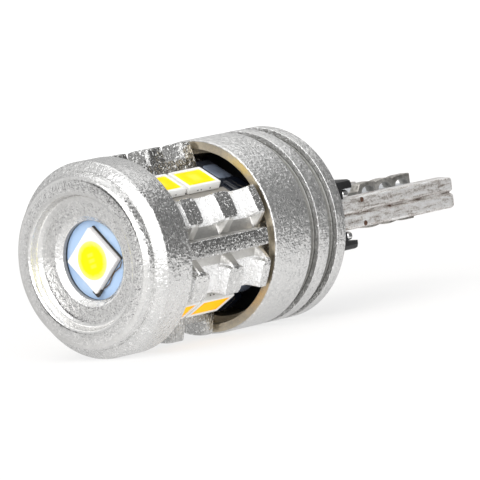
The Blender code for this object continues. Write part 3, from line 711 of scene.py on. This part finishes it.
def halfSection(cut):
    # From the bar's foot to the board's edge: channel slope, land, trough wall and foot.
    # Corners are eased by leaving out the corner point between two stretches.
    p = post
    bottom = np.array([np.sqrt(p["foot"] ** 2 - p["barHalf"] ** 2), p["barHalf"]])
    wallFoot = np.array(fromTrough(p["boardFace"], p["troughHalf"]))
    if cut:
        rim = arcPoints(p["foot"], 35.0, 35.0, 1)[0]
        slope = arcPoints(p["foot"], 6.2, 14.0, p["slopeSteps"])
        land = arcPoints(p["foot"], 14.3, 34.2, p["landSteps"])
    else:
        rim = arcPoints(p["radius"], p["halfAngle"], p["halfAngle"], 1)[0]
        inner = arcPoints(p["radius"], p["finInner"], p["finInner"], 1)[0]
        slope = bottom + (inner - bottom) * np.linspace(0.03, 0.93, p["slopeSteps"])[:, None]
        land = arcPoints(p["radius"], p["finInner"] + 0.6, p["halfAngle"] - 0.6, p["landSteps"])
    wall = rim + (wallFoot - rim) * np.linspace(0.05, 1.0, p["wallSteps"])[:, None]
    foot = np.array([fromTrough(p["boardFace"], p["boardHalf"]), fromTrough(p["coreFace"], p["boardHalf"])])
    return np.concatenate([slope, land, wall, foot])


def barSection(tall):
    # Half of the bar: its top and its side, down to the bottom of the channel.
    top = post["radius"] if tall else post["foot"]
    across = np.array([0.0, 0.18, 0.36, 0.47, 0.52, 0.545, 0.55, 0.55, 0.55, 0.552])
    drop = np.array([0.0, 0.0, 0.0, 0.008, 0.03, 0.07, 0.13, 0.4, 0.7, 0.90]) * tall
    return np.column_stack([np.sqrt(top ** 2 - across ** 2) - drop, across])


def easedRamp(t):
    # A straight ramp from 0 to 1 whose two ends are parabolas of width e.
    e = post["fillet"]
    t = np.clip(t, 0, 1)
    value = np.where(t < e, t * t / (2 * e), np.where(t > 1 - e, 1 - e - (1 - t) ** 2 / (2 * e), t - e / 2))
    return value / (1 - e)


def finEdges():
    pitch = post["fin"] + post["slot"]
    return [post["capEnd"] + post["undercut"] + number * pitch for number in range(3)]


def finWeight(station, inset):
    # 1 on a fin and 0 in a slot. The wall that faces the nose leans by frontDraft, the other by
    # backDraft, and both draw in by the inset that rounds the fin's corners in plan.
    p = post
    weight = easedRamp((p["capEnd"] + 0.05 - station) / 0.08)
    for number, edge in enumerate(finEdges()):
        draft = p["backDraft"] if number == 0 else p["frontDraft"]
        rise = easedRamp((station - edge - inset + draft) / draft)
        fall = easedRamp((edge + p["fin"] - inset - station) / p["backDraft"] + 1) if number < 2 else 1.0
        weight = weight + rise * fall
    return np.clip(weight, 0, 1)


def postStations():
    # Stations are packed where the section changes and sparse between.
    p = post
    fins = finEdges()
    edges = [p["capEnd"], p["barEnd"], p["end"], *fins, *(edge + p["fin"] for edge in fins[:2])]
    packed = [edge + offset for edge in edges for offset in np.linspace(-0.42, 0.30, 37)]
    even = np.arange(p["start"], p["end"], 0.08)
    stations = np.unique(np.round(np.concatenate([packed, even, [p["start"], p["end"]]]), 3))
    return stations[(stations >= p["start"]) & (stations <= p["end"])]


def cornerInset(half):
    # Plan corners of a fin: r - sqrt(r^2 - (r - d)^2), where d is the way along the land to its end.
    r = post["planCorner"]
    way = np.cumsum(np.r_[0, np.linalg.norm(np.diff(half, axis=0), axis=1)])
    start = way[post["slopeSteps"] - 1]
    end = way[post["slopeSteps"] + post["landSteps"]]
    short = [np.clip(r - np.maximum(d, 0), 0, r) for d in (way - start, end - way)]
    return r - np.sqrt(r * r - np.maximum(*short) ** 2)


def makePost(name, angle, skin, slotMaterial):
    # Each station's section is a blend of the tall and the cut section by the fin's weight;
    # the bar blends by its own weight, and the last rows draw in to round the end. The skin's
    # materials are fin, slot, channel slope and bar.
    p = post
    stations = postStations()[:, None]
    tall, cut = halfSection(False), halfSection(True)
    weight = finWeight(stations, cornerInset(tall)[None])
    fins = cut[None] + (tall - cut)[None] * weight[..., None]
    barWeight = easedRamp((p["barEnd"] - stations) / 0.06 + 1)[..., None]
    barTall, barLow = barSection(True), barSection(False)
    bar = barLow[None] + (barTall - barLow)[None] * barWeight
    half = np.concatenate([bar, fins], 1)
    ending = smoothRamp(stations, p["end"] - 0.09, p["end"] + 0.01)
    half[..., 0] -= p["endEase"] * ending * (half[..., 0] > p["endEaseFrom"])
    loop = np.concatenate([half, half[:, :0:-1] * np.array([1.0, -1.0])], 1)
    points = aroundAxis(loop[..., 0], loop[..., 1], stations, angle)
    whole = np.ones(bar.shape[:2])
    inSlot = np.concatenate([whole, weight, weight[:, ::-1], whole[:, 1:]], 1) < p["slotBelow"]
    inSlot &= stations > p["capEnd"] + 0.03
    column = np.arange(loop.shape[1])
    column = np.minimum(column, len(column) - column)
    barColumns = bar.shape[1]
    onSlope = column < barColumns + p["slopeSteps"] - 1
    kinds = np.where(column < barColumns - 3, 3, np.where(onSlope, 2, inSlot.astype(int)))
    makePiece(name, points, [skin, slotMaterial, slopeMaterial, barMaterial],
              ["head_casting"], faceSlots=kinds, sharp=32)


tongue = {"half": 1.65, "foot": 4.2, "radius": 5.20, "start": 11.05, "end": 13.25}


def makeTongue(name, angle):
    # A rounded block carried along the axis into the collar.
    t = tongue
    reach = np.degrees(np.arcsin(t["half"] / t["radius"]))
    top = arcPoints(t["radius"], -reach, reach, 9)
    loop = roundedPath(np.concatenate([[(t["foot"], -t["half"])], top, [(t["foot"], t["half"])]]), 0.06, 2)
    stations = np.linspace(t["start"], t["end"], 6)[:, None]
    makePiece(name, aroundAxis(loop[None, :, 0], loop[None, :, 1], stations, angle), [castMaterial],
              ["head_casting"])


# The three posts are one casting. The front post's slots take the painted highlight; the lower post's slots
# take the darker bar finish and the whole top post the coarse copy, both painted shade.
postFinishes = {"post1": (castMaterial, slotHighlightMaterial), "post2": (castMaterial, barMaterial),
                "post3": (coarseShadeMaterial, coarseShadeMaterial)}
for postName, postAngle in postAngles.items():
    makePost(postName, postAngle, *postFinishes[postName])
for postName, postAngle in postAngles.items():
    makeTongue(postName + "Tongue", postAngle)
print("head casting ready")


# Rear collar.

collar = {"start": 11.50, "end": 18.37, "lip": 0.65, "lipLength": 1.10, "wall": 1.00, "backWall": 2.10,
          "edge": 0.11, "groove": 0.78, "land": 1.02, "rearLand": 0.89, "depth": 0.45, "holeHalfWide": 4.85,
          "holeHalfHigh": 2.30, "holeCorner": 24.0, "turnSteps": 540, "nick": 0.022, "nickSets": 8,
          "nickDepth": 0.3}


def makeCollar():
    # A closed profile turned round the axis; in the back wall its radius follows a rounded rectangle,
    # whose distance at an angle is nearly the smaller of halfWide / |cos| and halfHigh / |sin|.
    c = collar
    corners = [(bodyRadius, c["end"])]
    radii = [c["edge"]]
    for number in range(2):
        end = c["end"] - c["rearLand"] - number * (c["groove"] + c["land"])
        start, foot = end - c["groove"], bodyRadius - c["depth"]
        corners += [(bodyRadius, end), (foot, end), (foot, start), (bodyRadius, start)]
        radii += [0.05, 0.12, 0.12, 0.05]
    lipEnd, back = c["start"] + c["lipLength"], c["end"] - c["backWall"]
    lip, inside = bodyRadius - c["lip"], bodyRadius - c["wall"]
    corners += [(bodyRadius, c["start"]), (lip, c["start"]), (lip, lipEnd), (inside, lipEnd),
                (inside, back), (0.0, back), (0.0, c["end"])]
    radii += [c["edge"], 0.05, 0.05, 0.05, 0.1, 0.0, 0.0]
    r, along = roundedPath(corners, radii, 4).T
    angle = np.linspace(0, 2 * pi, c["turnSteps"], endpoint=False)
    wide = c["holeHalfWide"] / np.maximum(np.abs(np.cos(angle)), 1e-6)
    high = c["holeHalfHigh"] / np.maximum(np.abs(np.sin(angle)), 1e-6)
    opening = (wide ** -c["holeCorner"] + high ** -c["holeCorner"]) ** (-1 / c["holeCorner"])
    onEdge = (np.abs(np.gradient(r)) * np.abs(np.gradient(along)) > 1e-5) & (r > bodyRadius - 0.12)
    nicks = np.stack([ripple(angle, seed, 60, 220, 40) for seed in range(c["nickSets"])], 1)
    which = (along * 3).astype(int) % c["nickSets"]
    radius = np.where((r < 0.01)[None], opening[:, None], r[None])
    cut = np.maximum(nicks[:, which], -c["nickDepth"]) + c["nickDepth"]
    radius = radius - c["nick"] * cut * onEdge
    station = along[None] + c["nick"] * 0.6 * np.roll(nicks, 3, 0)[:, which] * onEdge
    points = aroundAxis(radius, 0, np.minimum(station, c["end"]), angle[:, None])
    # The lip takes the painted reflection.
    onLip = (r < bodyRadius - 0.07) & (r > 4) & (along < lipEnd + 0.1)
    # The groove floors take the painted shade.
    inGroove = (r < bodyRadius - 0.10) & (r > bodyRadius - c["depth"] - 0.01) & (along > c["end"] - 4)
    makePiece("rearCollar", points, [satinMaterial, lipReflectionMaterial, grooveShadeMaterial],
              ["rear_collar"], wrapRows=True,
              faceSlots=np.tile(np.where(inGroove, 2, onLip.astype(int)), (len(angle), 1)))


makeCollar()
print("collar ready")


# Leds.

led = {"base": 4.25, "height": 0.52, "frontHalf": 1.50, "frontPhosphor": 1.24, "sideHalfLong": 1.50,
       "sideHalfWide": 1.00, "rim": 0.24, "corner": 0.10, "well": 0.16, "fillDrop": 0.035, "diePitch": 1.3,
       "dieReach": 0.65, "markHeight": 0.17, "marks": (-0.62, -0.30, 0.55)}
# What a fill looks like: its colour, its rim's colour and its glow.
paleFill = {"colour": (1.0, 0.72, 0.0), "edge": (1.0, 0.84, 0.01), "glow": 0.12, "radius": 0.00135}
# Window 1's fill: deeper in colour for painted shade, with a stronger glow for painted light.
shadedGlowFill = {"colour": (1.0, 0.55, 0.0), "edge": (1.0, 0.40, 0.0), "glow": 0.25, "radius": 0.00135}
frontFill = {"colour": (1.0, 0.88, 0.0), "edge": (1.0, 0.98, 0.22), "glow": 0.10, "radius": 0.00124}


def wallRings(height):
    # From the middle of the underside up the outer wall.
    return [(0.02, 0.0), (0.0, 0.03), (0.0, height - 0.05), (0.012, height - 0.015), (0.05, height)]


def makeSideLed(window, number):
    # A package with a rectangular well, and its fill a little below the rim. Window 1 faces down; its fill
    # is a shaded copy, deeper in colour (painted shade) with a stronger glow (painted light), and shows no
    # dies.
    label = f"side_led_{window}_{number}"
    name = f"sideLed{window}{number}"
    low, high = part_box(label + "_package")
    middle = (low.x + high.x) / 2
    origin, along, sideways, outward = axes = windowFrame(window, middle, 0, led["base"])
    halfLong, halfWide, rim, height = led["sideHalfLong"], led["sideHalfWide"], led["rim"], led["height"]
    rings = wallRings(height) + [(rim - 0.05, height), (rim - 0.015, height - 0.012),
                                 (rim + 0.03, height - led["well"])]
    makePiece(name + "Package", placed(nestedRings(halfLong, halfWide, led["corner"], rings), *axes),
              [packageWhite], [label + "_package"], sharp=50)
    top = height - led["fillDrop"]
    rings = [(0.0, top - 0.11), (0.0, top - 0.02), (0.05, top), (0.25, top + 0.006), (0.6, top + 0.01)]
    fill = nestedRings(halfLong - rim - 0.005, halfWide - rim - 0.005, 0.12, rings)
    look = shadedGlowFill if window == 1 else paleFill
    dies = [(tuple(direction), led["diePitch"] * mm, led["dieReach"] * mm)
            for direction in (along, sideways)]
    material = phosphorMaterial(f"phosphor{window}{number}", centre=tuple(origin + outward * top * mm),
                                dies=dies if look is paleFill else (), **look)
    makePiece(name + "Fill", placed(fill, *axes), [material], [label + "_phosphor"],
              sharp=50)
    dot = nestedRings(0.06, 0.045, 0.04, [(0.0, -0.02), (0.0, 0.006), (0.015, 0.012)], 3)
    above = led["base"] + led["markHeight"]
    marks = []
    for side in (-1, 1):
        for place in led["marks"]:
            spot = windowFrame(window, middle + place * mm, side * halfWide, above)[0]
            marks.append(makePiece("mark", placed(dot, spot, along, outward, sideways * side), [markAndShadowBlack]))
    return marks


def joinMarks(name, marks):
    # All the gate marks become one piece.
    shape = bmesh.new()
    for mark in marks:
        shape.from_mesh(mark.data)
        bpy.data.objects.remove(mark)
    mesh = bpy.data.meshes.new(name)
    shape.to_mesh(mesh)
    shape.free()
    addPiece(name, mesh, [markAndShadowBlack], sharp=40)


# The front led is turned by 45 degrees: it lies along these two directions and looks along -X.
frontSeat = np.array([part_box("front_led_package")[1].x, 0, axisHeight * mm])
diagonal = np.sqrt(0.5)
frontAxes = np.array([(0, -diagonal, diagonal), (0, diagonal, diagonal), (-1, 0, 0)])


def makeFrontLed():
    # A square package with a round well; its fill is a shallow dome.
    half, height, phosphor = led["frontHalf"], led["height"], led["frontPhosphor"]
    square = nestedRings(half, half, led["corner"], wallRings(height), 12)
    turn = np.linspace(0, pi / 2, 13)
    angles = np.concatenate([turn + k * pi / 2 for k in range(4)])
    well = circleRings(angles, ((phosphor + 0.04, height), (phosphor + 0.005, height - 0.015),
                                (phosphor - 0.06, height - led["well"])))
    rings = np.concatenate([square, well])
    # The package's outer wall takes the painted glow.
    kinds = np.tile((np.arange(len(rings)) < 2)[:, None], (1, rings.shape[1])).astype(int)
    makePiece("frontLedPackage", placed(rings, frontSeat, *frontAxes), [packageWhite, packageSideGlow],
              ["front_led_package"], faceSlots=kinds, sharp=50)
    dome = circleRings(np.linspace(0, 2 * pi, 64, endpoint=False),
                       ((1.22, height - 0.12), (1.22, height - 0.05), (1.17, height - 0.03),
                        (0.9, height - 0.015), (0.5, height - 0.005), (0.12, height)))
    dies = (((0, 0.26, 0.97), 0.37 * mm, 0.55 * mm), ((0, -0.97, 0.26), 0.8 * mm, 0.40 * mm))
    material = phosphorMaterial("frontPhosphor", centre=tuple(frontSeat + frontAxes[2] * height * mm),
                                dies=dies, **frontFill)
    makePiece("frontLedFill", placed(dome, frontSeat, *frontAxes), [material],
              ["front_led_phosphor"], sharp=50)


makeFrontLed()
joinMarks("ledGateMarks", [mark for window in (1, 2, 3) for number in (1, 2)
                           for mark in makeSideLed(window, number)])
print("leds ready")


# Wedge rails and contact strips.

railLow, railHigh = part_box("edge_rail_near")
wedge = {"start": stationOf("edge_rail_near"), "end": stationOf("edge_rail_near", 1),
         "half": -railLow.y / mm, "thick": (railHigh.z - railLow.z) / mm, "plate": 1.50,
         "inner": -railHigh.y / mm, "round": 0.22, "groove": 0.11, "depth": 0.30, "shallow": 0.10,
         "grooveStart": 22.9, "waves": 30, "skin": 0.82, "lump": 0.010, "sunk": 0.028, "tipSunk": 0.012,
         "upSunk": 0.012, "upLump": 0.007}


def railSection(depth):
    # The rail's outline in (outward, up): inner lip, rounded shoulder, then the outer face, whose
    # groove is depth * exp(-(up / groove)^2).
    w = wedge
    half, top = w["half"], w["thick"] / 2
    up = top - np.concatenate([w["round"] * (1 - np.cos(np.linspace(0.05, pi / 2, 10))),
                               np.linspace(w["round"] + 0.04, top - 0.012, 22)])
    over = np.maximum(up - (top - w["round"]), 0)
    shoulder = w["round"] - np.sqrt(np.maximum(w["round"] ** 2 - over ** 2, 0))
    outer = np.column_stack([half - shoulder - depth * np.exp(-(up / w["groove"]) ** 2), up])
    lip = np.array([(half - w["skin"], w["plate"] / 2 + 0.02), (w["inner"], w["plate"] / 2 + 0.02),
                    (w["inner"], top - 0.06), (w["inner"] + 0.05, top)])
    upper = np.concatenate([lip, outer])
    return np.concatenate([upper, upper[::-1] * np.array([1.0, -1.0])])


def makeRail(name, side, label):
    # The section is carried along the axis; the groove deepens, and a lumpy skin is taken off inwards.
    w = wedge
    stations = np.unique(np.concatenate([np.linspace(w["start"], w["end"], 300),
                                         w["end"] - np.linspace(0, 0.12, 8)]))[:, None]
    weight = smoothRamp(stations, w["grooveStart"] - 0.5, w["grooveStart"] + 0.4)[..., None]
    flat, grooved = railSection(w["shallow"]), railSection(w["depth"])
    section = flat[None] + (grooved - flat)[None] * weight
    rng = np.random.default_rng(11 if side > 0 else 12)
    rows = np.linspace(0, 1, section.shape[1])
    lumps = np.zeros(section.shape[:2])
    for count in range(w["waves"]):
        fx, fy = rng.uniform(2, 22), rng.uniform(4, 22)
        px, py = rng.uniform(0, 2 * pi, 2)
        lumps += np.sin(fx * stations / 3 + px + 1.6 * np.sin(fy * rows + py)[None]) / w["waves"] ** 0.5
    outward = np.clip((section[..., 0] - (w["half"] - 0.9)) / 0.4, 0, 1)
    tip = 1 - smoothRamp(w["end"] - stations, 0.0, 0.10)
    section[..., 0] += (w["lump"] * lumps - w["sunk"] - w["tipSunk"] * tip) * outward
    section[..., 1] *= 1 - (w["upSunk"] - w["upLump"] * lumps + w["tipSunk"] * tip) * outward
    makePiece(name, inWorld(stations, -side * section[..., 0], section[..., 1]), [tinnedMaterial],
              [label], sharp=60)


stripLow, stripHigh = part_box("contact_strip_upper")
strip = {"start": stationOf("contact_strip_upper"), "arches": 25.14, "pitch": 1.72, "count": 3,
         "height": 0.50, "thick": 0.20, "plate": 0.75, "width": (stripHigh.y - stripLow.y) / mm,
         "offset": -(stripLow.y + stripHigh.y) / 2 / mm, "dip": 0.22, "holeHalf": 0.64, "holeHigh": 0.42,
         "edge": 0.05}


def makeStrip(name, side, label):
    # The upper line steps up at the first arch and dips a little between arches; the lower line is
    # flat but for a round opening under each arch, hole * sqrt(1 - (d / hole)^2) at a distance d.
    s = strip
    end = s["arches"] + s["pitch"] * s["count"]
    along = np.concatenate([np.linspace(s["start"], s["arches"] - 0.3, 20)[:-1],
                            np.linspace(s["arches"] - 0.3, end - 0.01, 330), [end]])
    wave = np.clip((along - s["arches"]) / s["pitch"], 0, s["count"] - 0.5)
    lift = s["height"] * (1 - s["dip"] + s["dip"] * np.abs(np.sin(pi * wave)) ** 0.6)
    lift = lift * smoothRamp(along, s["arches"] - 0.22, s["arches"] + 0.12)
    middle = s["arches"] + (np.floor(wave) + 0.5) * s["pitch"]
    away = np.where(along > s["arches"], np.abs(along - middle), 9.0)
    hole = np.sqrt(np.maximum(1 - (away / s["holeHalf"]) ** 2, 0)) * s["holeHigh"]
    base = s["plate"] + 0.05
    half, edge = s["width"] / 2, s["edge"]
    low, high = base + hole, base + s["thick"] + lift
    across = np.array([-half, -half, edge - half, half - edge, half, half, half - edge, edge - half])
    onTop = np.array([0, 1, 1, 1, 1, 0, 0, 0])
    inset = np.array([edge, -edge, 0, 0, -edge, edge, 0, 0])
    up = np.where(onTop[None] == 1, high[:, None], low[:, None]) + inset[None]
    makePiece(name, inWorld(along[:, None], -(s["offset"] + across[None]), side * up), [stripMaterial],
              [label], sharp=40)


makeRail("edgeRailNear", 1, "edge_rail_near")
makeRail("edgeRailFar", -1, "edge_rail_far")
makeStrip("contactStripUpper", 1, "contact_strip_upper")
makeStrip("contactStripLower", -1, "contact_strip_lower")
print("wedge ready")


# Solder.

def makeLead(label, seed):
    # A superellipsoid in the lead end's box: |x/a|^3 + |y/b|^3 + |z/c|^3 = 1, with a slow ripple on
    # its skin.
    low, high = (np.array(corner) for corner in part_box(f"lead_end_{label}"))
    rows = np.linspace(-pi / 2, pi / 2, 18)[:, None]
    cols = np.linspace(0, 2 * pi, 32, endpoint=False)
    cosRow, sinRow, cosCol, sinCol = (np.sign(wave) * np.abs(wave) ** (2 / 3) for wave in
                                      (np.cos(rows), np.sin(rows), np.cos(cols), np.sin(cols)))
    skin = 0.93 + 0.07 * ripple(cols, seed, 1, 5, 6)[None] * np.cos(rows)
    points = np.stack([cosRow * cosCol * skin, cosRow * sinCol * skin, sinRow + 0 * cosCol], -1)
    makePiece("lead" + label.capitalize(), points * (high - low) / 2 + (low + high) / 2, [solderBright],
              [f"lead_end_{label}"], capEnds=False, sharp=80)


pads = {"face": 4.20, "station": 12.15, "sideways": 0.85, "halfLong": 0.66, "halfWide": 0.85,
        "corner": 0.30, "rings": [(0.03, -0.02), (0.0, 0.02), (0.04, 0.07), (0.16, 0.10), (0.40, 0.11)]}
drops = {"face": 4.20, "station": 12.0, "sideways": -1.15, "halfLong": 0.85, "halfWide": 0.95,
         "corner": 0.6, "rings": [(0.0, -0.02), (0.0, 0.05), (0.05, 0.16), (0.14, 0.25), (0.28, 0.31),
                                  (0.5, 0.34)]}


def makeOnBoard(name, size, window, material, arcSteps, sharp):
    # A pad or a drop of solder on a side board, at the collar's end of its window.
    rings = nestedRings(size["halfLong"], size["halfWide"], size["corner"], size["rings"], arcSteps)
    axes = windowFrame(window, (noseX + size["station"]) * mm, size["sideways"], size["face"])
    makePiece(f"{name}{window}", placed(rings, *axes), [material], sharp=sharp)


def makeCord(name, along, across, drop, radius, material):
    # A round cord on the front board: each section is middle + radius (cos a, sin a) across the path.
    path = placed(np.column_stack([along, across, np.full(len(along), drop)]), frontSeat, *frontAxes)
    onward = np.gradient(path, axis=0)
    onward /= np.linalg.norm(onward, axis=1)[:, None]
    side = np.cross(onward, (1.0, 0, 0))
    side /= np.linalg.norm(side, axis=1)[:, None]
    rise = np.cross(onward, side)
    turn = np.linspace(0, 2 * pi, 10, endpoint=False)[None, :, None]
    ring = np.cos(turn) * side[:, None] + np.sin(turn) * rise[:, None]
    taper = np.sqrt(np.clip(1 - np.linspace(-1, 1, len(path)) ** 12, 0.1, 1))
    makePiece(name, path[:, None] + ring * radius * mm * taper[:, None, None], [material],
              sharp=60)


flux = {"away": 1.60, "wave": 0.075, "pitch": 4.4, "fineWave": 0.015, "finePitch": 17, "drop": 0.05,
        "radius": 0.034, "start": 1.40, "end": -1.50, "shadowBandShift": 0.085, "legEnd": 1.14,
        "cornerDrop": 0.30, "cornerRadius": 0.10}


def makeFrontSolder():
    # A black band of painted shadow that peeps out at the upper right of the package's foot, a wavy line of
    # burnt flux at the lower right and a black dab at the bottom corner.
    f = flux
    half = led["frontHalf"]
    # Painted shadow: a black band round the package's foot, shifted to the upper right.
    shadowBand = nestedRings(half, half, 0.08, [(0.03, 0.0), (0.0, 0.015), (0.0, 0.11), (0.02, 0.13)], 3)
    makePiece("frontShadowBand", placed(shadowBand, frontSeat + frontAxes[0] * f["shadowBandShift"] * mm, *frontAxes),
              [markAndShadowBlack], sharp=60)
    along = np.linspace(f["start"], f["end"], 80)
    wave = f["wave"] * np.sin(f["pitch"] * along + 0.5) + f["fineWave"] * np.sin(f["finePitch"] * along + 1)
    wave = wave * (0.6 + 0.9 * np.abs(along) / half)
    makeCord("fluxLine", along, wave - f["away"], f["drop"], f["radius"], fluxBrown)
    corner = roundedPath([(-f["legEnd"], -f["away"]), (-f["away"], -f["away"]), (-f["away"], -f["legEnd"])],
                         0.06, 6, closed=False)
    makeCord("fluxCorner", corner[:, 0], corner[:, 1], f["cornerDrop"], f["cornerRadius"], markAndShadowBlack)


makeLead("upper", 3)
makeLead("lower", 5)
for windowNumber in windowAngles:
    makeOnBoard("boardPad", pads, windowNumber, padGrey, 6, 60)
    makeOnBoard("boardDrop", drops, windowNumber, glassDark, 8, 80)
makeFrontSolder()
print("solder ready")


# Finishes of the carried-over nodes.

finishes = {"front_board": boardBlue, "core_bar": coreMaterial, "side_board_1": boardDark,
            "side_board_2": boardDark, "side_board_3": boardDark, "holder_block": holderBlack,
            "wedge_board": plateGrey, "driver_chip": chipBlack, "rectifier": chipBlack,
            "resistor_1": resistorDark, "resistor_2": resistorDark, "resistor_3": resistorDark}
for nodeName, finish in finishes.items():
    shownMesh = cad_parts[nodeName].data
    shownMesh.materials.clear()
    shownMesh.materials.append(finish)
print("finishes ready")
